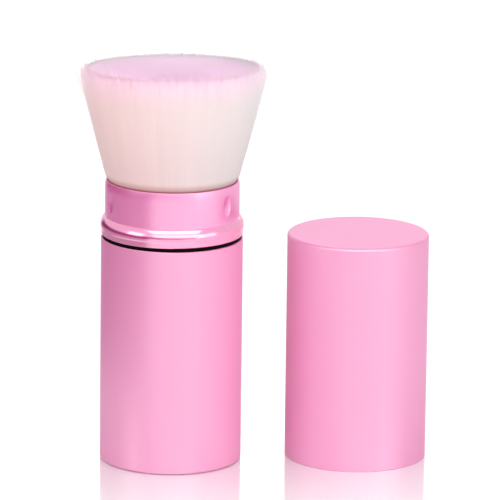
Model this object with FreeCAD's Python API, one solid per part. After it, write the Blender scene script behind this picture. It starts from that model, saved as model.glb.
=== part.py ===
# Retractable kabuki make-up brush with its cap standing beside it, in millimetres.
# The brush axis is +Z through the origin, and Z = 0 is the plane that the brush and cap stand on.
import FreeCAD, Part
import math
import os

# Handle tube, a drawn aluminium cup
tube_radius = 18.0
tube_wall = 0.5
tube_floor = 0.6
tube_height = 57.9
closed_end_round = 0.7
tube_rim_round = 0.15

# Mouth bush, the plastic guide ring that lines the mouth of the tube
seam_gap = 0.95
bush_recess = 0.35
bush_skirt_length = 7.5
bush_wall = 0.65

# Slide sleeve, the plastic tube that carries the collar up and down
sleeve_running_clearance = 0.05
sleeve_wall = 1.0
sleeve_foot_thickness = 2.0
sleeve_foot_clearance = 0.08
collar_travel = 31.0
sleeve_seat_height = 0.75
sleeve_top_below_rim = 2.3
sleeve_funnel_height = 2.5
sleeve_lip = 0.2

# Grip ring, the bead that the fingers pull
grip_ring_height = 4.65
grip_band_height = 1.35
grip_bead_overhang = 0.2
grip_crest_height = 2.25
grip_foot_round = 0.2

# Neck shell, the bright collar round the bristles
neck_step = 0.95
neck_wall = 0.4
neck_height = 9.3
neck_curl_height = 2.2
neck_curl_depth = 0.2
neck_rim_round = 0.12

# Dents that lock the neck shell on its sleeve
dent_count = 3
dent_first_azimuth_degrees = -65.0
dent_depth = 0.45
dent_half_height = 2.75
dent_punch_radius = 3.4
dent_below_rim = 4.8

# Brush post, the plastic plug and column that hold the head
plug_gap = 4.4
plug_wall = 1.5
plug_base_thickness = 3.0
column_radius = 8.0
column_wall = 2.0
shoulder_below_mouth = 9.9
shoulder_thickness = 2.0
shoulder_cone_height = 4.0
spigot_height = 5.0
spigot_cap_thickness = 2.0

# Ferrule, the thin cup round the roots of the bristles
ferrule_clearance = 0.4
ferrule_wall = 0.4
ferrule_height = 14.5

# Glue plug and bristles
glue_thickness = 4.0
root_clearance = 0.3
bristle_neck_gap = 0.3
bristle_swell_height = 1.4
bristle_swell = 0.95
head_length = 27.6
head_radius = 23.4
head_belly_share = 0.47
head_belly_radius_share = 0.54
head_edge_round = 1.0
head_crown = 0.7

# Cap, a drawn aluminium cup as wide as the tube, that stands on its open end
cap_wall = 0.5
cap_height = 58.1
cap_top_thickness = 0.6
cap_axis_x = 47.25
cap_axis_y = 4.95

# Cap liner, the plastic ring that grips the neck
liner_clearance = 0.1
liner_recess = 0.8
liner_height = 14.0
liner_lead_in = 0.25

# Pick tolerance for finding an edge by its radius and height
edge_tolerance = 0.001

tube_bore = tube_radius - tube_wall
seat_height = tube_height + seam_gap
bush_bore = tube_bore - bush_wall
sleeve_radius = bush_bore - sleeve_running_clearance
sleeve_bore = sleeve_radius - sleeve_wall
sleeve_foot_top = tube_height - bush_skirt_length - collar_travel
sleeve_foot_base = sleeve_foot_top - sleeve_foot_thickness
neck_radius = tube_radius - neck_step
neck_bore = neck_radius - neck_wall
cap_radius = tube_radius
grip_top = seat_height + grip_ring_height
neck_base = seat_height + sleeve_seat_height
neck_top = grip_top + neck_height
curl_base = neck_top - neck_curl_height
sleeve_top = neck_top - sleeve_top_below_rim
shoulder_base = tube_height - shoulder_below_mouth - shoulder_thickness
ferrule_base = shoulder_base + shoulder_thickness
ferrule_radius = sleeve_bore - ferrule_clearance
ferrule_bore = ferrule_radius - ferrule_wall
ferrule_top = ferrule_base + ferrule_height
spigot_top = ferrule_base + spigot_height
glue_top = spigot_top + glue_thickness


def place(radius, height):
    """A point of a half section, at this radius and height."""
    return FreeCAD.Vector(radius, 0, height)


def turned(edges):
    """A solid of revolution about +Z from the edges of a closed half section."""
    face = Part.Face(Part.Wire(edges))
    return face.revolve(FreeCAD.Vector(0, 0, 0), FreeCAD.Vector(0, 0, 1), 360)


def lines(points):
    """Straight edges through points given as radius and height."""
    ends = [place(radius, height) for radius, height in points]
    return [Part.makeLine(a, b) for a, b in zip(ends, ends[1:])]


def turned_polygon(points):
    """A solid of revolution from the corners of its half section."""
    return turned(lines(points + points[:1]))


def swept_from_crest(crest, end):
    """An arc that leaves the crest straight up or down and bends inward to the end."""
    inward = crest[0] - end[0]
    rise = end[1] - crest[1]
    bend = (inward ** 2 + rise ** 2) / (2 * inward)
    centre_radius = crest[0] - bend
    half_turn = math.atan2(rise, end[0] - centre_radius) / 2
    middle = place(centre_radius + bend * math.cos(half_turn), crest[1] + bend * math.sin(half_turn))
    return Part.Arc(place(*crest), middle, place(*end)).toShape()


def crown_arc(radius, base, rise):
    """An arc from the edge of a low dome to its pole on the axis."""
    bend = (radius ** 2 + rise ** 2) / (2 * rise)
    half_turn = math.asin(radius / bend) / 2
    middle = place(bend * math.sin(half_turn), base + rise - bend * (1 - math.cos(half_turn)))
    return Part.Arc(place(radius, base), middle, place(0, base + rise)).toShape()


def is_ring_at(edge, radius, height):
    """True for a full circle of this radius at this height."""
    if not isinstance(edge.Curve, Part.Circle):
        return False
    same_radius = abs(edge.Curve.Radius - radius) < edge_tolerance
    same_height = abs(edge.Curve.Center.z - height) < edge_tolerance
    return same_radius and same_height


def rounded(solid, size, rings):
    """The solid with the circular edges at these radii and heights rounded."""
    picked = [e for e in solid.Edges if any(is_ring_at(e, *ring) for ring in rings)]
    return solid.makeFillet(size, picked)


def handle_tube():
    """Closed at the bottom, open at the mouth."""
    cup = turned_polygon([
        (0, 0), (tube_radius, 0), (tube_radius, tube_height), (tube_bore, tube_height),
        (tube_bore, tube_floor), (0, tube_floor),
    ])
    cup = rounded(cup, closed_end_round, [(tube_radius, 0)])
    return rounded(cup, tube_rim_round, [(tube_radius, tube_height)])


def mouth_bush():
    """Skirt inside the tube, and a flange on its rim that shows as the dark seam."""
    flange_radius = tube_radius - bush_recess
    skirt_base = tube_height - bush_skirt_length
    return turned_polygon([
        (bush_bore, skirt_base), (tube_bore, skirt_base), (tube_bore, tube_height),
        (flange_radius, tube_height), (flange_radius, seat_height), (bush_bore, seat_height),
    ])


def brush_post():
    """Plug pressed in the bottom of the tube, hollow column, shoulder and spigot."""
    plug_top = sleeve_foot_base - plug_gap
    plug_base = tube_floor + plug_base_thickness
    core = column_radius - column_wall
    core_top = spigot_top - spigot_cap_thickness
    return turned_polygon([
        (core, tube_floor), (tube_bore, tube_floor), (tube_bore, plug_top),
        (tube_bore - plug_wall, plug_top), (tube_bore - plug_wall, plug_base),
        (column_radius, plug_base), (column_radius, shoulder_base - shoulder_cone_height),
        (ferrule_radius, shoulder_base), (ferrule_radius, ferrule_base),
        (ferrule_bore, ferrule_base), (ferrule_bore, spigot_top), (0, spigot_top),
        (0, core_top), (core, core_top),
    ])


def ferrule():
    """Thin tube on the shoulder of the post."""
    return turned_polygon([
        (ferrule_bore, ferrule_base), (ferrule_radius, ferrule_base),
        (ferrule_radius, ferrule_top), (ferrule_bore, ferrule_top),
    ])


def glue_plug():
    """Set resin that holds the roots, on top of the spigot."""
    return turned_polygon([
        (0, spigot_top), (ferrule_bore, spigot_top), (ferrule_bore, glue_top), (0, glue_top),
    ])


def bristles():
    """The whole tuft: straight in the ferrule, then flared to a flat, softly crowned top."""
    base = neck_top + bristle_swell_height
    rim_radius = neck_bore - neck_curl_depth - bristle_neck_gap
    swell_radius = rim_radius + bristle_swell
    head_top = neck_top + head_length
    belly = (
        swell_radius + head_belly_radius_share * (head_radius - swell_radius),
        base + head_belly_share * (head_top - base),
    )
    funnel_base = sleeve_top - sleeve_funnel_height
    side = lines([
        (0, glue_top), (ferrule_bore, glue_top), (ferrule_bore, ferrule_top),
        (sleeve_bore - root_clearance, funnel_base), (rim_radius, neck_top), (swell_radius, base),
    ])
    flare = Part.Arc(place(swell_radius, base), place(*belly), place(head_radius, head_top)).toShape()
    inset = head_edge_round * (1 - math.cos(math.pi / 4))
    edge = Part.Arc(
        place(head_radius, head_top),
        place(head_radius - inset, head_top + head_edge_round - inset),
        place(head_radius - head_edge_round, head_top + head_edge_round),
    ).toShape()
    crown_base = head_top + head_edge_round
    crown = crown_arc(head_radius - head_edge_round, crown_base, head_crown)
    back = lines([(0, crown_base + head_crown), (0, glue_top)])
    return turned(side + [flare, edge, crown] + back)


def dent_places():
    """Azimuths of the dents, counted from the front toward +X."""
    step = 360 / dent_count
    return [dent_first_azimuth_degrees + step * index for index in range(dent_count)]


def dent_punches(extra):
    """Upright spindles that press the dents, grown by the extra thickness."""
    height_bend = dent_half_height ** 2 / (2 * dent_depth) + extra
    waist = dent_punch_radius + extra
    reach = math.sqrt(2 * height_bend * waist - waist ** 2)
    side = Part.Arc(place(0, -reach), place(waist, 0), place(0, reach)).toShape()
    spindle = turned([side, Part.makeLine(place(0, reach), place(0, -reach))])
    axis_radius = neck_radius + dent_punch_radius - dent_depth
    punches = []
    for azimuth in dent_places():
        angle = math.radians(azimuth)
        spot = FreeCAD.Vector(axis_radius * math.sin(angle), -axis_radius * math.cos(angle),
                              neck_top - dent_below_rim)
        punch = spindle.copy()
        punch.translate(spot)
        punches.append(punch)
    return punches


def neck_solid(radius):
    """The filled neck at this radius, with its slight inward curl at the rim."""
    curl_radius = radius - neck_curl_depth
    wall = lines([(0, neck_base), (radius, neck_base), (radius, curl_base)])
    curl = swept_from_crest((radius, curl_base), (curl_radius, neck_top))
    top = lines([(curl_radius, neck_top), (0, neck_top), (0, neck_base)])
    return turned(wall + [curl] + top)


def neck_shell():
    """Thin wall pressed inward at each dent."""
    outside = rounded(neck_solid(neck_radius), neck_rim_round,
                      [(neck_radius - neck_curl_depth, neck_top)])
    outside = outside.cut(dent_punches(0))
    inside = neck_solid(neck_bore).cut(dent_punches(neck_wall))
    return outside.cut(inside)


def grip_ring():
    """Flat band with a rounded bead above it, pressed on the foot of the neck shell."""
    band_top = seat_height + grip_band_height
    crest = (tube_radius + grip_bead_overhang, seat_height + grip_crest_height)
    foot = lines([
        (sleeve_radius, seat_height), (tube_radius, seat_height), (tube_radius, band_top),
    ])
    under_bead = swept_from_crest(crest, (tube_radius, band_top))
    over_bead = swept_from_crest(crest, (neck_radius, grip_top))
    bore = lines([
        (neck_radius, grip_top), (neck_radius, neck_base), (sleeve_radius, neck_base),
        (sleeve_radius, seat_height),
    ])
    ring = turned(foot + [under_bead, over_bead] + bore)
    return rounded(ring, grip_foot_round, [(tube_radius, seat_height)])


def slide_sleeve():
    """Stop foot, running tube, seat for the neck shell, and a funnel for the bristles."""
    foot_radius = tube_bore - sleeve_foot_clearance
    funnel_base = sleeve_top - sleeve_funnel_height
    body = turned_polygon([
        (sleeve_bore, sleeve_foot_base), (foot_radius, sleeve_foot_base),
        (foot_radius, sleeve_foot_top), (sleeve_radius, sleeve_foot_top),
        (sleeve_radius, neck_base), (neck_bore, neck_base),
        (neck_bore, sleeve_top), (neck_bore - sleeve_lip, sleeve_top), (sleeve_bore, funnel_base),
    ])
    return body.cut(dent_punches(neck_wall))


def on_cap_axis(solid):
    """The solid moved from the brush axis to the axis of the cap."""
    moved = solid.copy()
    moved.translate(FreeCAD.Vector(cap_axis_x, cap_axis_y, 0))
    return moved


def cap_shell():
    """Open at the bottom, closed at the top."""
    bore = cap_radius - cap_wall
    ceiling = cap_height - cap_top_thickness
    cup = turned_polygon([
        (bore, 0), (cap_radius, 0), (cap_radius, cap_height), (0, cap_height),
        (0, ceiling), (bore, ceiling),
    ])
    cup = rounded(cup, closed_end_round, [(cap_radius, cap_height)])
    return on_cap_axis(rounded(cup, tube_rim_round, [(cap_radius, 0)]))


def cap_liner():
    """Ring inside the mouth of the cap, with a lead-in for the neck."""
    bore = neck_radius + liner_clearance
    outside = cap_radius - cap_wall
    ring = turned_polygon([
        (bore + liner_lead_in, liner_recess), (outside, liner_recess),
        (outside, liner_recess + liner_height), (bore, liner_recess + liner_height),
        (bore, liner_recess + liner_lead_in),
    ])
    return on_cap_axis(ring)


def export(node, solid):
    """One file for one piece."""
    solid.exportStep("parts/" + node + ".step")
    print(node, "valid" if solid.isValid() else "NOT valid", len(solid.Solids), "solid",
          round(solid.Volume, 1), "cubic mm")


pieces = {
    "handle_tube": handle_tube,
    "mouth_bush": mouth_bush,
    "brush_post": brush_post,
    "ferrule": ferrule,
    "glue_plug": glue_plug,
    "bristles": bristles,
    "neck_shell": neck_shell,
    "grip_ring": grip_ring,
    "slide_sleeve": slide_sleeve,
    "cap_shell": cap_shell,
    "cap_liner": cap_liner,
}

os.makedirs("parts", exist_ok=True)
for node, make in pieces.items():
    export(node, make())
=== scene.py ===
"""Retractable kabuki brush and its cap: finishes, bristles, studio light and camera."""
import math

import bmesh
import bpy
import numpy as np
from mathutils import Matrix, Vector


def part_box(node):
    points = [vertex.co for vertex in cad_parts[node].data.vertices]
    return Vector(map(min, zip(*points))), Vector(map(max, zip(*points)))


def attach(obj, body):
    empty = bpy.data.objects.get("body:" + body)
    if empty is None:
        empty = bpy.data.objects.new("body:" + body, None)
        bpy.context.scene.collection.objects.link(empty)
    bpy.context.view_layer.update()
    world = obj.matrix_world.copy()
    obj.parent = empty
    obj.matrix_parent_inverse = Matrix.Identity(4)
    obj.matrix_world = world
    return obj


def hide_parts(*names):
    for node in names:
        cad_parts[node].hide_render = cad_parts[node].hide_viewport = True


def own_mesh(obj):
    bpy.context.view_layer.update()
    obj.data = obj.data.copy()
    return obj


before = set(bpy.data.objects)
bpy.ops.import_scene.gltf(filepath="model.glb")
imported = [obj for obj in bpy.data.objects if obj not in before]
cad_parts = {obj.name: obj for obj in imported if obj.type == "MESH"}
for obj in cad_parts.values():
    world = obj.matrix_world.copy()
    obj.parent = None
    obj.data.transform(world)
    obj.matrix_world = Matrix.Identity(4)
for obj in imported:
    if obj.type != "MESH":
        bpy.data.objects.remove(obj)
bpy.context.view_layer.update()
bpy.ops.object.select_all(action="DESELECT")

MM = 0.001

# Camera, fitted to the outlines in the photograph
camera_place = (0.0198, -1.447, 0.412)
camera_pitch_degrees = 13.88
camera_roll_degrees = 0.69
frame_pixels = 500
focal_pixels = 5883.5
sensor_width = 36.0
near_clip = 0.05

# Places of the pieces, from the frame
tuft_low, tuft_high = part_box("bristles")
cap_low, cap_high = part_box("cap_shell")
neck_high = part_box("neck_shell")[1]
ferrule_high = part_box("ferrule")[1]
sleeve_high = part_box("slide_sleeve")[1]
handle_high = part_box("handle_tube")[1]
neck_top = neck_high.z
cap_axis = ((cap_low.x + cap_high.x) / 2, (cap_low.y + cap_high.y) / 2)

# Outline of the tuft: packed in the ferrule, wider in the sleeve, and flared above the neck
root_inset = 0.6 * MM
root_radius = ferrule_high.x - root_inset
sleeve_spread = 0.8 * MM
lip_inset = 0.9 * MM
spill_height = 1.4 * MM
head_radius = tuft_high.x
rim_drop = 0.3 * MM
rim_tip_height = tuft_high.z - rim_drop
tuft_rise = rim_tip_height - neck_top
tuft_flare = head_radius - neck_high.x
middle_height_share = 0.47
middle_flare_share = 0.52
upper_height_share = 0.87
upper_flare_share = 0.93

# Crown: a low dome, with its rise per length to the front and to the right
crown_rise = 0.4 * MM
top_slope = 0.061
side_slope = 0.012

# Rim: how far the dense fibres stand inside the outline, and over what length they turn in
side_inset = 0.1 * MM
rim_inset = 1.5 * MM
rim_round_length = 4.5 * MM
rim_round_power = 3
inset_start_length = 4 * MM
crown_radius = head_radius - side_inset - rim_inset

# Core of the tuft, a little under its fibres
core_steps = 6
core_depth = 0.3 * MM
core_top_depth = 0.6 * MM
core_tone = 0.97
core_dome_shares = (0.75, 0.45)
flare_centre_depth = 40 * MM

# Levels of the core near the rim, as depths below the rim's tips, and all its levels, as heights.
# The second number is the level's share of the crown's slope
core_rim_rings = [(7 * MM, 0.7), (4 * MM, 0.85), (2 * MM, 0.95), (core_top_depth, 1)]
core_levels = [
    (tuft_low.z, 0),
    (ferrule_high.z, 0),
    (sleeve_high.z, 0),
    (neck_top, 0),
    (neck_top + spill_height, 0),
    (neck_top + middle_height_share * tuft_rise, 0.5),
    *((rim_tip_height - depth, share) for depth, share in core_rim_rings),
]

# Every fibre: three-sided, thinner to its tip, with part of its own roundness in its shading
fibre_taper = 0.45
fibre_back_share = 0.5
fibre_front_share = 0.9
fibre_roundness = 0.12
shortest_length = 1e-9

# Long fibres on the outside of the tuft
lock_count = 24
outer_fibres_per_lock = 760
fibre_width = 0.12 * MM
outer_width_range = (0.8, 1.3)
outer_level_shares = (0.3, 0.6, 0.76, 0.88)
highest_climb = 1.1
hidden_length = 5 * MM

# How deep the long fibres lie, most at the rim, and how unevenly they end
fibre_depth = 0.06 * MM
depth_power = 1.5
rim_depth_gain = 8
tip_round = 1.0 * MM
tip_drop = 0.45 * MM
tip_scatter = 0.15 * MM
tip_spread = 0.05 * MM
turn_scatter = 0.006

# How far their shading turns upward: on the side, at the rim and at the very tip
side_lift = 0.05
rim_lift = 0.9
tip_lift = 1

# Upper ends of the fibres inside the tuft
top_fibres_per_lock = 1100
top_fibre_width = 0.17 * MM
top_width_range = (0.8, 1.2)
top_fibre_length = 4.0 * MM
top_bend_length = 1.2 * MM
top_bend_shares = np.array([0, 0.4, 1])
top_flare = 0.26
top_scatter = 0.18 * MM
top_spread = 0.15 * MM
top_turn_scatter = 0.004
crown_overlap = 0.15 * MM

# How far their shading turns outward near the rim: at the tip, and lower down
rim_lean_power = 6
tip_lean = 0.15
deep_lean = 4
deep_droop = 0.8

# Loose fibres, which stand away from the tuft
loose_fibres_per_lock = 90
loose_tips_per_lock = 110
loose_width_share = 0.6
loose_drop = 0.05 * MM
loose_scatter = 0.5 * MM
loose_reach = 3.4 * MM
loose_rise = 0.3 * MM
loose_tip_range = (0.8, 1.08)
side_fray = 0.03 * MM
rim_fray = 1.1 * MM
fray_start_rate = 3

# Tones of the fibres, which differ from fibre to fibre and wander round the tuft
tone_scatter = 0.012
tone_range = (0.8, 1.05)
top_tone_scatter = 0.02
top_tone_range = (0.9, 1.05)
broad_tone = 0.005
fine_tone = 0.007
broad_tone_points = 40
fine_tone_points = 170

# Pink of the tips, which is weaker at the rim
pink_length = 7.2 * MM
pink_base = tuft_high.z - pink_length
pink_power = 1.3
pink_fade_share = 0.62
pink_fade_power = 1.5
rim_pink_share = 0.52

random_seed = 7

# Colours of the metals and plastics, each clouded between a light tone and a deep one
satin_light = (0.64, 0.048, 0.305)
satin_deep = (0.61, 0.043, 0.28)
neck_light = (0.72, 0.06, 0.36)
neck_deep = (0.69, 0.055, 0.33)
bead_light = (0.74, 0.05, 0.33)
bead_deep = (0.70, 0.045, 0.30)
drawn_light = (0.82, 0.82, 0.84)
drawn_deep = (0.76, 0.76, 0.78)
black_light = (0.004, 0.002, 0.002)
black_deep = (0.002, 0.001, 0.001)
pale_light = (0.72, 0.69, 0.69)
pale_deep = (0.66, 0.63, 0.63)
resin_light = (0.62, 0.50, 0.30)
resin_deep = (0.52, 0.40, 0.22)

# Colours of the fibres: cream under pink tips, with painted shade that makes them darker and warmer to the
# left and paler and cooler to the right
cream_painted_lit = (0.75, 0.68, 0.68)
cream_painted_shade = (0.80, 0.53, 0.53)
tip_pink = (1.0, 0.55, 0.85)

# Painted shade on the fibres, darkest at the neck's mouth, at 0, and fading out on the way to their tips,
# at 1
painted_root_shade = [
    (0.0, (0.50, 0.24, 0.25)),
    (0.03, (0.80, 0.65, 0.65)),
    (0.08, (0.95, 0.94, 0.94)),
    (0.7, (1.0, 1.0, 1.0)),
]

# Grain of the metals and plastics
noise_low = 0.3
noise_high = 0.7
oxide_ior = 3.8
dye_cloud_scale = 90
smear_scale = 220
smear_stretch = (1, 1, 0.35)
blasted_scale = 9000
blasted_depth = 0.02 * MM
plastic_cloud_scale = 60
plastic_patch_scale = 400
plastic_grain_depth = 0.03 * MM
plastic_grain_strength = 0.3

# Floor and room
white = (1, 1, 1, 1)
floor_size = 6
floor_grey = (0.78, 0.78, 0.78, 1)
floor_glow = 0.2
mirror_reach = 95 * MM
mirror_strength = 0.7
mirror_roughness = 0.09
room_white = 1.0
room_light = 0.62

# White cards between brush and cap
card_height = 62 * MM
card_length = 70 * MM
card_offset = 1 * MM
card_grey = (0.8, 0.8, 0.8, 1)

# Boards and lamps
board_facets = 72
far_foot = (1.0, 0)
far_top = (1.0, 0.2)
lamp_aim = (0.02, 0, 0.05)


def material(name):
    """A new node material with its shader."""
    made = bpy.data.materials.new(name)
    made.use_nodes = True
    return made, made.node_tree.nodes, made.node_tree.links, made.node_tree.nodes["Principled BSDF"]


def noise(nodes, links, scale, detail, roughness=0.5, stretch=(1, 1, 1)):
    """Noise on the piece's own coordinates, stretched along an axis where asked."""
    place = nodes.new("ShaderNodeTexCoord")
    turn = nodes.new("ShaderNodeMapping")
    turn.inputs["Scale"].default_value = stretch
    links.new(place.outputs["Object"], turn.inputs["Vector"])
    cloud = nodes.new("ShaderNodeTexNoise")
    cloud.inputs["Scale"].default_value = scale
    cloud.inputs["Detail"].default_value = detail
    cloud.inputs["Roughness"].default_value = roughness
    links.new(turn.outputs["Vector"], cloud.inputs["Vector"])
    return cloud.outputs["Fac"]


def spread(nodes, links, value, low, high):
    """The value moved from the range where noise mostly lies to low..high."""
    scale = nodes.new("ShaderNodeMapRange")
    scale.inputs["From Min"].default_value = noise_low
    scale.inputs["From Max"].default_value = noise_high
    scale.inputs["To Min"].default_value = low
    scale.inputs["To Max"].default_value = high
    links.new(value, scale.inputs["Value"])
    return scale.outputs["Result"]


def blended(nodes, links, share, first, second):
    """A colour between two, by the share."""
    mix = nodes.new("ShaderNodeMix")
    mix.data_type = "RGBA"
    mix.inputs["A"].default_value = (*first, 1)
    mix.inputs["B"].default_value = (*second, 1)
    links.new(share, mix.inputs["Factor"])
    return mix.outputs["Result"]


def multiplied(nodes, links, first, second):
    """One colour times another."""
    mix = nodes.new("ShaderNodeMix")
    mix.data_type = "RGBA"
    mix.blend_type = "MULTIPLY"
    mix.inputs["Factor"].default_value = 1.0
    links.new(first, mix.inputs["A"])
    links.new(second, mix.inputs["B"])
    return mix.outputs["Result"]


def raised(nodes, links, shader, value, distance, strength):
    """Bump from the value."""
    bump = nodes.new("ShaderNodeBump")
    bump.inputs["Distance"].default_value = distance
    bump.inputs["Strength"].default_value = strength
    links.new(value, bump.inputs["Height"])
    links.new(bump.outputs["Normal"], shader.inputs["Normal"])


def anodised(name, first, second, shine, roughness, coat, coat_roughness, grain_strength):
    """Aluminium, dyed or plain, under a clear oxide layer where coat is 1, with a blasted grain."""
    made, nodes, links, shader = material(name)
    cloud = noise(nodes, links, dye_cloud_scale, 3)
    links.new(blended(nodes, links, cloud, first, second), shader.inputs["Base Color"])
    shader.inputs["Metallic"].default_value = shine
    shader.inputs["Specular IOR Level"].default_value = 0.0
    shader.inputs["Coat Weight"].default_value = coat
    shader.inputs["Coat Roughness"].default_value = coat_roughness
    shader.inputs["Coat IOR"].default_value = oxide_ior
    smear = noise(nodes, links, smear_scale, 4, 0.6, smear_stretch)
    links.new(spread(nodes, links, smear, roughness - 0.02, roughness + 0.03), shader.inputs["Roughness"])
    grain = noise(nodes, links, blasted_scale, 2)
    raised(nodes, links, shader, grain, blasted_depth, grain_strength)
    return made


def moulded(name, first, second, roughness, gloss, grain_scale):
    """Moulded plastic or set resin with a fine grain."""
    made, nodes, links, shader = material(name)
    cloud = noise(nodes, links, plastic_cloud_scale, 3)
    links.new(blended(nodes, links, cloud, first, second), shader.inputs["Base Color"])
    patch = noise(nodes, links, plastic_patch_scale, 3)
    links.new(spread(nodes, links, patch, roughness - 0.05, roughness + 0.07), shader.inputs["Roughness"])
    shader.inputs["Specular IOR Level"].default_value = gloss
    grain = noise(nodes, links, grain_scale, 3)
    raised(nodes, links, shader, grain, plastic_grain_depth, plastic_grain_strength)
    return made


def fibre_finish():
    """Soft fibres: cream, with pink tips, painted shade at the roots and on the left side, and each fibre's
    own tone.
    """
    made, nodes, links, shader = material("bristle fibre")
    place = nodes.new("ShaderNodeTexCoord")
    split = nodes.new("ShaderNodeSeparateXYZ")
    links.new(place.outputs["Object"], split.inputs["Vector"])
    height = nodes.new("ShaderNodeMapRange")
    height.inputs["From Min"].default_value = neck_top
    height.inputs["From Max"].default_value = tuft_high.z
    links.new(split.outputs["Z"], height.inputs["Value"])
    # Painted shade at the roots, where the fibres go into the neck
    painted_root_ramp = nodes.new("ShaderNodeValToRGB")
    painted_root_ramp.color_ramp.interpolation = "EASE"
    while len(painted_root_ramp.color_ramp.elements) < len(painted_root_shade):
        painted_root_ramp.color_ramp.elements.new(0.5)
    for element, (position, colour) in zip(painted_root_ramp.color_ramp.elements, painted_root_shade):
        element.position = position
        element.color = (*colour, 1)
    links.new(height.outputs["Result"], painted_root_ramp.inputs["Fac"])
    shares = {}
    for name in ("painted_shade_left", "pink", "tone"):
        reader = nodes.new("ShaderNodeAttribute")
        reader.attribute_name = name
        shares[name] = reader.outputs["Fac"]
    # Painted shade: the cream turns darker and warmer towards the left side of the tuft
    cream = blended(nodes, links, shares["painted_shade_left"], cream_painted_lit, cream_painted_shade)
    tips = nodes.new("ShaderNodeMix")
    tips.data_type = "RGBA"
    tips.inputs["B"].default_value = (*tip_pink, 1)
    links.new(shares["pink"], tips.inputs["Factor"])
    links.new(multiplied(nodes, links, cream, painted_root_ramp.outputs["Color"]), tips.inputs["A"])
    links.new(multiplied(nodes, links, tips.outputs["Result"], shares["tone"]), shader.inputs["Base Color"])
    shader.inputs["Roughness"].default_value = 0.6
    shader.inputs["Sheen Weight"].default_value = 0.8
    shader.inputs["Sheen Roughness"].default_value = 0.5
    shader.inputs["Specular IOR Level"].default_value = 0.25
    return made


def dress(node, finish):
    """The finish on a node of the frame."""
    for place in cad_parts[node].material_slots:
        place.material = finish


def tuft_radius(height):
    """Outer radius of the tuft: straight in the ferrule, then flared."""
    heights = [
        tuft_low.z, ferrule_high.z, sleeve_high.z, neck_top, neck_top + spill_height,
        neck_top + middle_height_share * tuft_rise, neck_top + upper_height_share * tuft_rise,
        rim_tip_height,
    ]
    radii = [
        root_radius, root_radius, root_radius + sleeve_spread, neck_high.x - lip_inset, neck_high.x,
        neck_high.x + middle_flare_share * tuft_flare, neck_high.x + upper_flare_share * tuft_flare,
        head_radius,
    ]
    return np.interp(height, heights, radii)


def crown_height(radius, azimuth):
    """Height of the fibre tips: a low dome that slopes a little down to the back and the left."""
    share = np.clip(np.asarray(radius) / head_radius, 0, 1)
    slope = top_slope * np.cos(azimuth) + side_slope * np.sin(azimuth)
    return rim_tip_height + crown_rise * (1 - share ** 2) + slope * radius


def rim_share(below):
    """How far the rounding of the rim has come at this distance below the tips, from 0 to 1."""
    return 1 / (1 + (np.maximum(below, 0) / rim_round_length) ** rim_round_power)


def dense_inset(levels, rim):
    """How far the dense fibres stand inside the tuft's outline, most at the rim."""
    start = np.clip((levels - neck_top) / inset_start_length, 0, 1)
    return (side_inset + rim_inset * rim_share(rim - levels)) * start


class Strands:
    """Vertices, faces, normals, tones and pink shares of many fibres in one mesh."""

    def __init__(self):
        self.points = []
        self.faces = []
        self.normals = []
        self.tones = []
        self.pinks = []
        self.count = 0

    def add(self, points, faces, normals, tone, pinks):
        """One more fibre, or the core, with its faces counted from its own first point."""
        self.points.append(points)
        self.faces.extend([[corner + self.count for corner in face] for face in faces])
        self.normals.append(normals)
        self.tones.append(np.full(len(points), tone))
        self.pinks.append(pinks)
        self.count += len(points)

    def mesh(self, name):
        """All of them as one mesh, with the shares that the fibre finish reads."""
        places = np.concatenate(self.points)
        made = bpy.data.meshes.new(name)
        made.from_pydata(places.tolist(), [], self.faces)
        made.shade_smooth()
        made.normals_split_custom_set_from_vertices(np.concatenate(self.normals))
        azimuths = np.arctan2(places[:, 0], -places[:, 1])
        shares = {
            "tone": np.concatenate(self.tones),
            "pink": np.concatenate(self.pinks),
            # Share of the painted shade by azimuth: full at the left, none at the right
            "painted_shade_left": 0.5 - 0.5 * np.sin(azimuths),
        }
        for label, values in shares.items():
            layer = made.attributes.new(label, "FLOAT", "POINT")
            layer.data.foreach_set("value", values.astype(np.float32))
        made.update()
        return made


def fibre_faces(levels):
    """Faces of a three-sided fibre with this many rings below its tip."""
    faces = [(0, 1, 2)]
    for ring in range(levels - 1):
        for side in range(3):
            here, following = ring * 3 + side, ring * 3 + (side + 1) % 3
            faces.append((following, here, here + 3, following + 3))
    last = (levels - 1) * 3
    for side in range(3):
        faces.append((last + (side + 1) % 3, last + side, last + 3))
    return faces


def fibre_points(path, width, azimuth):
    """Rings of three points along a path that rises, and the tip."""
    out = np.array([math.sin(azimuth), -math.cos(azimuth), 0.0])
    side = np.array([math.cos(azimuth), math.sin(azimuth), 0.0])
    count = len(path) - 1
    rings = []
    for index in range(count):
        half = width / 2 * (1 - fibre_taper * index / count)
        centre = path[index]
        rings.append(centre - side * half - out * half * fibre_back_share)
        rings.append(centre + side * half - out * half * fibre_back_share)
        rings.append(centre + out * half * fibre_front_share)
    rings.append(path[-1])
    return np.array(rings)


def soft_normals(points, path, facing):
    """Normals between the fibre's own roundness and the way that the tuft faces."""
    centres = np.concatenate([np.repeat(path[:-1], 3, axis=0), path[-2:-1]])
    own = points - centres
    own /= np.linalg.norm(own, axis=1)[:, None] + shortest_length
    normals = facing / np.linalg.norm(facing, axis=1)[:, None] + fibre_roundness * own
    return normals / np.linalg.norm(normals, axis=1)[:, None]


def pink_share(points, tip, strongest):
    """How pink each point of a fibre is: strongest at its tip, and none a little way down."""
    return strongest * np.clip(1 - (tip - points[:, 2]) / pink_length, 0, 1) ** pink_power


def wandering(rng, count):
    """Random tones round the tuft, joined in a closed line, as a function of azimuth."""
    values = rng.normal(0, 1, count)
    values = np.append(values, values[0])
    grid = np.linspace(0, 2 * math.pi, count + 1)
    return lambda azimuth: np.interp(azimuth % (2 * math.pi), grid, values)


def around(radius, azimuth, height):
    """The point at this radius and height, where azimuth 0 is the front."""
    return radius * math.sin(azimuth), -radius * math.cos(azimuth), height


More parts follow.
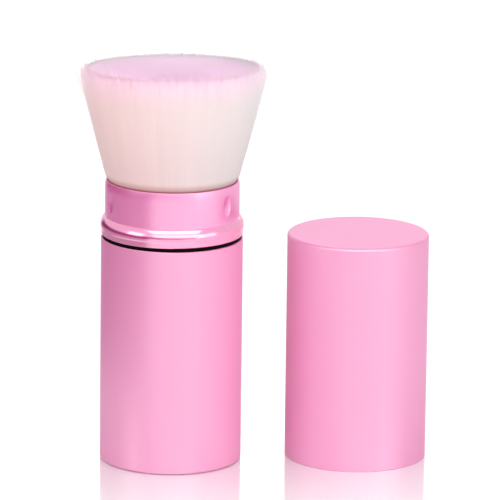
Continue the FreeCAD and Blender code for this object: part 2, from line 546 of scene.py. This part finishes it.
def core_points(first, last):
    """Points of a lock's core: the axis and an arc at each level, the arcs of its dome, and its peak."""
    azimuths = np.linspace(first, last, core_steps + 1)
    points = []
    for height, slope_share in core_levels:
        slope = slope_share * top_slope
        radius = tuft_radius(height) - core_depth - dense_inset(height, rim_tip_height)
        points.append((0, 0, height))
        for azimuth in azimuths:
            points.append(around(radius, azimuth, height + slope * radius * math.cos(azimuth)))
    top_radius = radius
    for share in core_dome_shares:
        radius = top_radius * share
        for azimuth in azimuths:
            points.append(around(radius, azimuth, crown_height(radius, azimuth) - core_top_depth))
    points.append((0, 0, crown_height(0, 0) - core_top_depth))
    return np.array(points)


def core_faces():
    """Faces of a lock's core: its outside and two flat sides, its foot and its dome."""
    row = core_steps + 2
    levels = len(core_levels)
    dome = levels * row
    peak = dome + len(core_dome_shares) * (core_steps + 1)
    axis_top = (levels - 1) * row
    faces = []
    for level in range(levels - 1):
        base, above = level * row, (level + 1) * row
        for step in range(1, core_steps + 1):
            faces.append((base + step, base + step + 1, above + step + 1, above + step))
        faces.append((base, base + 1, above + 1, above))
        faces.append((base + core_steps + 1, base, above, above + core_steps + 1))
    faces.append([0] + list(range(core_steps + 1, 0, -1)))
    near_edge = [axis_top + 1] + [dome + arc * (core_steps + 1) for arc in range(len(core_dome_shares))]
    far_edge = [corner + core_steps for corner in near_edge]
    for below, above in zip(near_edge, near_edge[1:]):
        for step in range(core_steps):
            faces.append((below + step, below + step + 1, above + step + 1, above + step))
    for step in range(core_steps):
        faces.append((near_edge[-1] + step, near_edge[-1] + step + 1, peak))
    faces.append([axis_top] + near_edge + [peak])
    faces.append([axis_top, peak] + far_edge[::-1])
    return faces


def core_of_lock(strands, first, last):
    """A closed wedge under the fibres, so that nothing shows through them."""
    points = core_points(first, last)
    away = points - (0, 0, neck_top - flare_centre_depth)
    away /= np.linalg.norm(away, axis=1)[:, None]
    pinks = np.clip((points[:, 2] - pink_base) / (tuft_high.z - pink_base), 0, 1)
    strands.add(points, core_faces(), away, core_tone, pinks)


def outer_fibre(strands, rng, azimuth, loose, tone, width):
    """One long fibre on the outside of the tuft, from inside the neck up. A loose one strays outward."""
    rim = crown_height(crown_radius, azimuth)
    tip = rim + rng.normal(0, loose_scatter if loose else tip_scatter) - abs(rng.normal(0, tip_drop))
    tip -= loose_drop * loose
    levels = np.array([
        neck_top - hidden_length, neck_top, neck_top + spill_height,
        *(neck_top + share * tuft_rise for share in outer_level_shares),
        tip - tip_round, tip,
    ])
    climb = np.clip((levels - neck_top) / tuft_rise, 0, highest_climb)
    rounding = rim_share(rim - levels)
    depth = rng.uniform(0, 1) ** depth_power * fibre_depth * (1 + rim_depth_gain * rounding)
    fray = loose * (side_fray + rim_fray * rounding) * np.clip(fray_start_rate * climb, 0, 1)
    sway = rng.normal(0, tip_spread) * climb ** 2
    radius = tuft_radius(levels) - dense_inset(levels, rim) - depth + np.minimum(fray, loose_reach) + sway
    turn = azimuth + rng.normal(0, turn_scatter) * climb
    path = np.stack([radius * np.sin(turn), -radius * np.cos(turn), levels], 1)
    points = fibre_points(path, width * rng.uniform(*outer_width_range), azimuth)
    lift = side_lift + rim_lift * rim_share(rim - points[:, 2]) ** 2
    lift += tip_lift * np.clip(1 - (tip - points[:, 2]) / tip_round, 0, 1)
    level = np.ones(len(points))
    outward = np.stack([math.sin(azimuth) * level, -math.cos(azimuth) * level, lift], 1)
    normals = soft_normals(points, path, outward)
    pinks = pink_share(points, tip, rim_pink_share)
    strands.add(points, fibre_faces(len(levels) - 1), normals, tone, pinks)


def top_fibre(strands, rng, azimuth, radius, drop, width):
    """The upper end of one fibre inside the tuft, its tip below the crown by the drop, or above it."""
    share = min(radius / crown_radius, 1)
    tip = crown_height(radius, azimuth) - drop
    levels = np.array([tip - top_fibre_length, tip - top_bend_length, tip])
    radii = radius - (tip - levels) * share * top_flare + rng.normal(0, top_spread) * top_bend_shares
    turn = azimuth + rng.normal(0, top_turn_scatter) * top_bend_shares
    path = np.stack([radii * np.sin(turn), -radii * np.cos(turn), levels], 1)
    points = fibre_points(path, width * rng.uniform(*top_width_range), azimuth)
    deep = (tip - points[:, 2]) / top_fibre_length
    lean = share ** rim_lean_power * (tip_lean + deep_lean * deep)
    up = 1 - deep_droop * deep * share ** rim_lean_power
    facing = np.stack([math.sin(azimuth) * lean, -math.cos(azimuth) * lean, up], 1)
    normals = soft_normals(points, path, facing)
    tone = np.clip(rng.normal(1, top_tone_scatter), *top_tone_range)
    outward = max(0.0, (share - pink_fade_share) / (1 - pink_fade_share))
    pinks = pink_share(points, tip, 1 - (1 - rim_pink_share) * outward ** pink_fade_power)
    strands.add(points, fibre_faces(len(levels) - 1), normals, tone, pinks)


def outer_fibres(strands, rng, first, last, broad, fine):
    """Long fibres side by side round the outside of the tuft."""
    for _ in range(outer_fibres_per_lock):
        azimuth = rng.uniform(first, last)
        tone = 1 + broad_tone * broad(azimuth) + fine_tone * fine(azimuth) + rng.normal(0, tone_scatter)
        outer_fibre(strands, rng, azimuth, 0, np.clip(tone, *tone_range), fibre_width)


def top_fibres(strands, rng, first, last):
    """The upper ends of the fibres inside the tuft."""
    for _ in range(top_fibres_per_lock):
        azimuth = rng.uniform(first, last)
        radius = math.sqrt(rng.uniform(0, 1)) * (crown_radius + crown_overlap)
        top_fibre(strands, rng, azimuth, radius, abs(rng.normal(0, top_scatter)), top_fibre_width)


def loose_fibres(strands, rng, first, last):
    """A few fibres that stand away from the tuft, so that its outline is soft."""
    for _ in range(loose_fibres_per_lock):
        azimuth = rng.uniform(first, last)
        loose = rng.exponential(1)
        tone = rng.normal(1, tone_scatter)
        outer_fibre(strands, rng, azimuth, loose, tone, fibre_width * loose_width_share)
    for _ in range(loose_tips_per_lock):
        azimuth = rng.uniform(first, last)
        radius = crown_radius * rng.uniform(*loose_tip_range)
        drop = -rng.exponential(loose_rise)
        top_fibre(strands, rng, azimuth, radius, drop, top_fibre_width * loose_width_share)


def tuft_piece(name, strands, finish):
    """A slice of the tuft as a piece on the handle's body, in place of the frame's bristles."""
    piece = bpy.data.objects.new(name, strands.mesh(name))
    bpy.context.collection.objects.link(piece)
    piece.data.materials.append(finish)
    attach(piece, "handle")
    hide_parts("bristles")
    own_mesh(piece)
    return piece


def bristle_tuft(finish):
    """The tuft as locks, each a slice of it, with the loose fibres of each lock."""
    rng = np.random.default_rng(random_seed)
    broad = wandering(rng, broad_tone_points)
    fine = wandering(rng, fine_tone_points)
    width = 2 * math.pi / lock_count
    for index in range(lock_count):
        first, last = index * width, (index + 1) * width
        strands = Strands()
        core_of_lock(strands, first, last)
        outer_fibres(strands, rng, first, last, broad, fine)
        top_fibres(strands, rng, first, last)
        tuft_piece(f"bristle_lock_{index + 1:02d}", strands, finish)
        strays = Strands()
        loose_fibres(strays, rng, first, last)
        loose = tuft_piece(f"loose_fibres_{index + 1:02d}", strays, finish)
        # A real fibre is fine and lets light through, so a loose one casts no shadow on the tuft
        loose.visible_shadow = False
        loose.visible_diffuse = False


def light_path_white(nodes, links, seen, lit):
    """Seen by the camera, gloss and glass at one strength, and lighting at another."""
    rays = nodes.new("ShaderNodeLightPath")
    total = rays.outputs["Is Camera Ray"]
    for name in ("Is Glossy Ray", "Is Transmission Ray"):
        either = nodes.new("ShaderNodeMath")
        either.operation = "MAXIMUM"
        links.new(total, either.inputs[0])
        links.new(rays.outputs[name], either.inputs[1])
        total = either.outputs[0]
    level = nodes.new("ShaderNodeMapRange")
    level.inputs["To Min"].default_value = lit
    level.inputs["To Max"].default_value = seen
    links.new(total, level.inputs["Value"])
    return level.outputs["Result"]


def mirror_share(nodes, links):
    """How strongly the floor mirrors: most round the feet, and fading away from them."""
    place = nodes.new("ShaderNodeTexCoord")
    shares = []
    for centre in ((0, 0), cap_axis):
        shift = nodes.new("ShaderNodeMapping")
        shift.inputs["Location"].default_value = (-centre[0] / mirror_reach, -centre[1] / mirror_reach, 0)
        shift.inputs["Scale"].default_value = (1 / mirror_reach,) * 3
        links.new(place.outputs["Object"], shift.inputs["Vector"])
        fade = nodes.new("ShaderNodeTexGradient")
        fade.gradient_type = "SPHERICAL"
        links.new(shift.outputs["Vector"], fade.inputs["Vector"])
        shares.append(fade.outputs["Fac"])
    nearest = nodes.new("ShaderNodeMath")
    nearest.operation = "MAXIMUM"
    links.new(shares[0], nearest.inputs[0])
    links.new(shares[1], nearest.inputs[1])
    strength = nodes.new("ShaderNodeMath")
    strength.operation = "MULTIPLY"
    strength.inputs[1].default_value = mirror_strength
    links.new(nearest.outputs["Value"], strength.inputs[0])
    return strength.outputs["Value"]


def studio_floor():
    """A glossy white sheet that mirrors the feet of the brush and cap."""
    bpy.ops.mesh.primitive_plane_add(size=floor_size, location=(0, 0, 0))
    floor = bpy.context.object
    floor.name = "floor"
    made, nodes, links, shader = material("white acrylic sheet")
    shader.inputs["Base Color"].default_value = floor_grey
    shader.inputs["Roughness"].default_value = 0.5
    shader.inputs["Emission Color"].default_value = white
    links.new(light_path_white(nodes, links, floor_glow, 0.0), shader.inputs["Emission Strength"])
    mirror = nodes.new("ShaderNodeBsdfGlossy")
    mirror.inputs["Roughness"].default_value = mirror_roughness
    both = nodes.new("ShaderNodeMixShader")
    links.new(mirror_share(nodes, links), both.inputs["Fac"])
    links.new(shader.outputs["BSDF"], both.inputs[1])
    links.new(mirror.outputs["BSDF"], both.inputs[2])
    links.new(both.outputs["Shader"], nodes["Material Output"].inputs["Surface"])
    floor.data.materials.append(made)


def only_reflected(piece):
    """The piece shows only in reflections: the camera doesn't see it, and it casts no light or shadow."""
    piece.visible_camera = False
    piece.visible_diffuse = False
    piece.visible_shadow = False


def dark_board(name, first, last, foot, top, tone):
    """A board round the set between two azimuths, from its foot's radius and height to its top's."""
    near, low = foot
    far, high = top
    bpy.ops.mesh.primitive_cone_add(vertices=board_facets, radius1=near, radius2=far, depth=high - low,
                                    end_fill_type="NOTHING", location=(0, 0, (low + high) / 2))
    board = bpy.context.object
    board.name = name
    bpy.ops.object.transform_apply(location=True, rotation=False, scale=False)
    mesh = bmesh.new()
    mesh.from_mesh(board.data)
    outside = []
    for face in mesh.faces:
        middle = face.calc_center_median()
        azimuth = math.degrees(math.atan2(middle.x, -middle.y))
        if not first <= azimuth <= last:
            outside.append(face)
    bmesh.ops.delete(mesh, geom=outside, context="FACES")
    mesh.to_mesh(board.data)
    mesh.free()
    made, *_, shader = material(name)
    shader.inputs["Base Color"].default_value = (tone, tone, tone, 1)
    shader.inputs["Roughness"].default_value = 0.9
    board.data.materials.append(made)
    only_reflected(board)


def white_card(name, shift, glow):
    """A glowing white card between brush and cap, so that they don't colour each other."""
    middle = (handle_high.x + cap_low.x) / 2 + shift
    bpy.ops.mesh.primitive_plane_add(size=1, location=(middle, cap_axis[1] / 2, card_height / 2),
                                     rotation=(0, math.radians(90), 0))
    card = bpy.context.object
    card.name = name
    card.dimensions = (card_height, card_length, 0)
    bpy.ops.object.transform_apply(location=True, rotation=True, scale=True)
    made, *_, shader = material(name)
    shader.inputs["Base Color"].default_value = card_grey
    shader.inputs["Emission Color"].default_value = white
    shader.inputs["Emission Strength"].default_value = glow
    card.data.materials.append(made)
    only_reflected(card)


def studio_world():
    """A pale room."""
    world = bpy.data.worlds.new("studio")
    bpy.context.scene.world = world
    world.use_nodes = True
    nodes, links = world.node_tree.nodes, world.node_tree.links
    sky = nodes["Background"]
    sky.inputs["Color"].default_value = white
    links.new(light_path_white(nodes, links, room_white, room_light), sky.inputs["Strength"])


def softbox(name, place, size, watts, mirrored=True):
    """A rectangular soft light that looks at the set, and shows in the metal where it is mirrored."""
    data = bpy.data.lights.new(name, "AREA")
    data.shape = "RECTANGLE"
    data.size, data.size_y = size
    data.energy = watts
    lamp = bpy.data.objects.new(name, data)
    lamp.location = place
    lamp.rotation_euler = (Vector(lamp_aim) - Vector(place)).to_track_quat("-Z", "Y").to_euler()
    lamp.visible_glossy = mirrored
    bpy.context.collection.objects.link(lamp)


def camera():
    """Long lens, looking down a little, level but for a slight roll."""
    data = bpy.data.cameras.new("camera")
    data.sensor_width = sensor_width
    data.lens = focal_pixels * sensor_width / frame_pixels
    data.clip_start = near_clip
    made = bpy.data.objects.new("camera", data)
    tilt = Matrix.Rotation(math.radians(90 - camera_pitch_degrees), 4, "X")
    roll = Matrix.Rotation(math.radians(camera_roll_degrees), 4, "Z")
    made.matrix_world = Matrix.Translation(camera_place) @ tilt @ roll
    bpy.context.collection.objects.link(made)
    bpy.context.scene.camera = made


satin_pink = anodised("satin pink anodised", satin_light, satin_deep, shine=0.12, roughness=0.55,
                      coat=1.0, coat_roughness=0.42, grain_strength=0.15)
neck_pink = anodised("bright pink anodised neck", neck_light, neck_deep, shine=0.2, roughness=0.36,
                     coat=1.0, coat_roughness=0.32, grain_strength=0.08)
bead_pink = anodised("polished pink anodised bead", bead_light, bead_deep, shine=0.6, roughness=0.3,
                     coat=1.0, coat_roughness=0.16, grain_strength=0.04)
plain_aluminium = anodised("plain drawn aluminium", drawn_light, drawn_deep, shine=1.0, roughness=0.3,
                           coat=0, coat_roughness=0.3, grain_strength=0.1)
black_plastic = moulded("black moulded plastic", black_deep, black_light, roughness=0.6, gloss=0.03,
                        grain_scale=6000)
pale_plastic = moulded("pale moulded plastic", pale_light, pale_deep, roughness=0.45, gloss=0.3,
                       grain_scale=5000)
set_resin = moulded("set resin", resin_light, resin_deep, roughness=0.25, gloss=0.5, grain_scale=900)

dress("handle_tube", satin_pink)
dress("cap_shell", satin_pink)
dress("neck_shell", neck_pink)
dress("grip_ring", bead_pink)
dress("mouth_bush", black_plastic)
dress("slide_sleeve", pale_plastic)
dress("brush_post", pale_plastic)
dress("cap_liner", pale_plastic)
dress("ferrule", plain_aluminium)
dress("glue_plug", set_resin)
bristle_tuft(fibre_finish())

studio_floor()
white_card("white card by the brush", -card_offset, glow=0.5)
white_card("white card by the cap", card_offset, glow=0.2)
studio_world()
softbox("front", place=(0.4, -1.78, 0.33), size=(3.0, 0.58), watts=9.6)
softbox("strip", place=(0.25, -1.45, 0.85), size=(2.6, 0.45), watts=6)
softbox("right", place=(1.6, -0.85, 0.5), size=(0.93, 0.9), watts=3.2)
softbox("left", place=(-1.55, -0.85, 0.6), size=(0.9, 1.0), watts=5.0)
softbox("back", place=(0.05, 1.6, 0.46), size=(1.4, 0.4), watts=1.8)
softbox("top", place=(0.1, -0.75, 1.45), size=(1.9, 0.9), watts=13.5)
softbox("back fill", place=(0.1, 1.3, 1.1), size=(1.2, 0.8), watts=4.5, mirrored=False)
dark_board("sloping left board", -150, -40, foot=(0.1, 0.001), top=(0.28, 0.02), tone=0.4)
dark_board("near left board", -150, -35, foot=(0.3, 0), top=(0.3, 0.05), tone=0.01)
dark_board("left board", -150, -35, far_foot, far_top, tone=0.01)
for first, last, tone in ((-35, -10, 0.05), (-10, 15, 0.1), (15, 40, 0.5)):
    dark_board(f"front board {first}", first, last, far_foot, far_top, tone)
dark_board("ceiling board", -180, 180, foot=(0.36, 1.5), top=(0.02, 1.52), tone=0.05)
camera()

view = bpy.context.scene.view_settings
view.view_transform = "Standard"
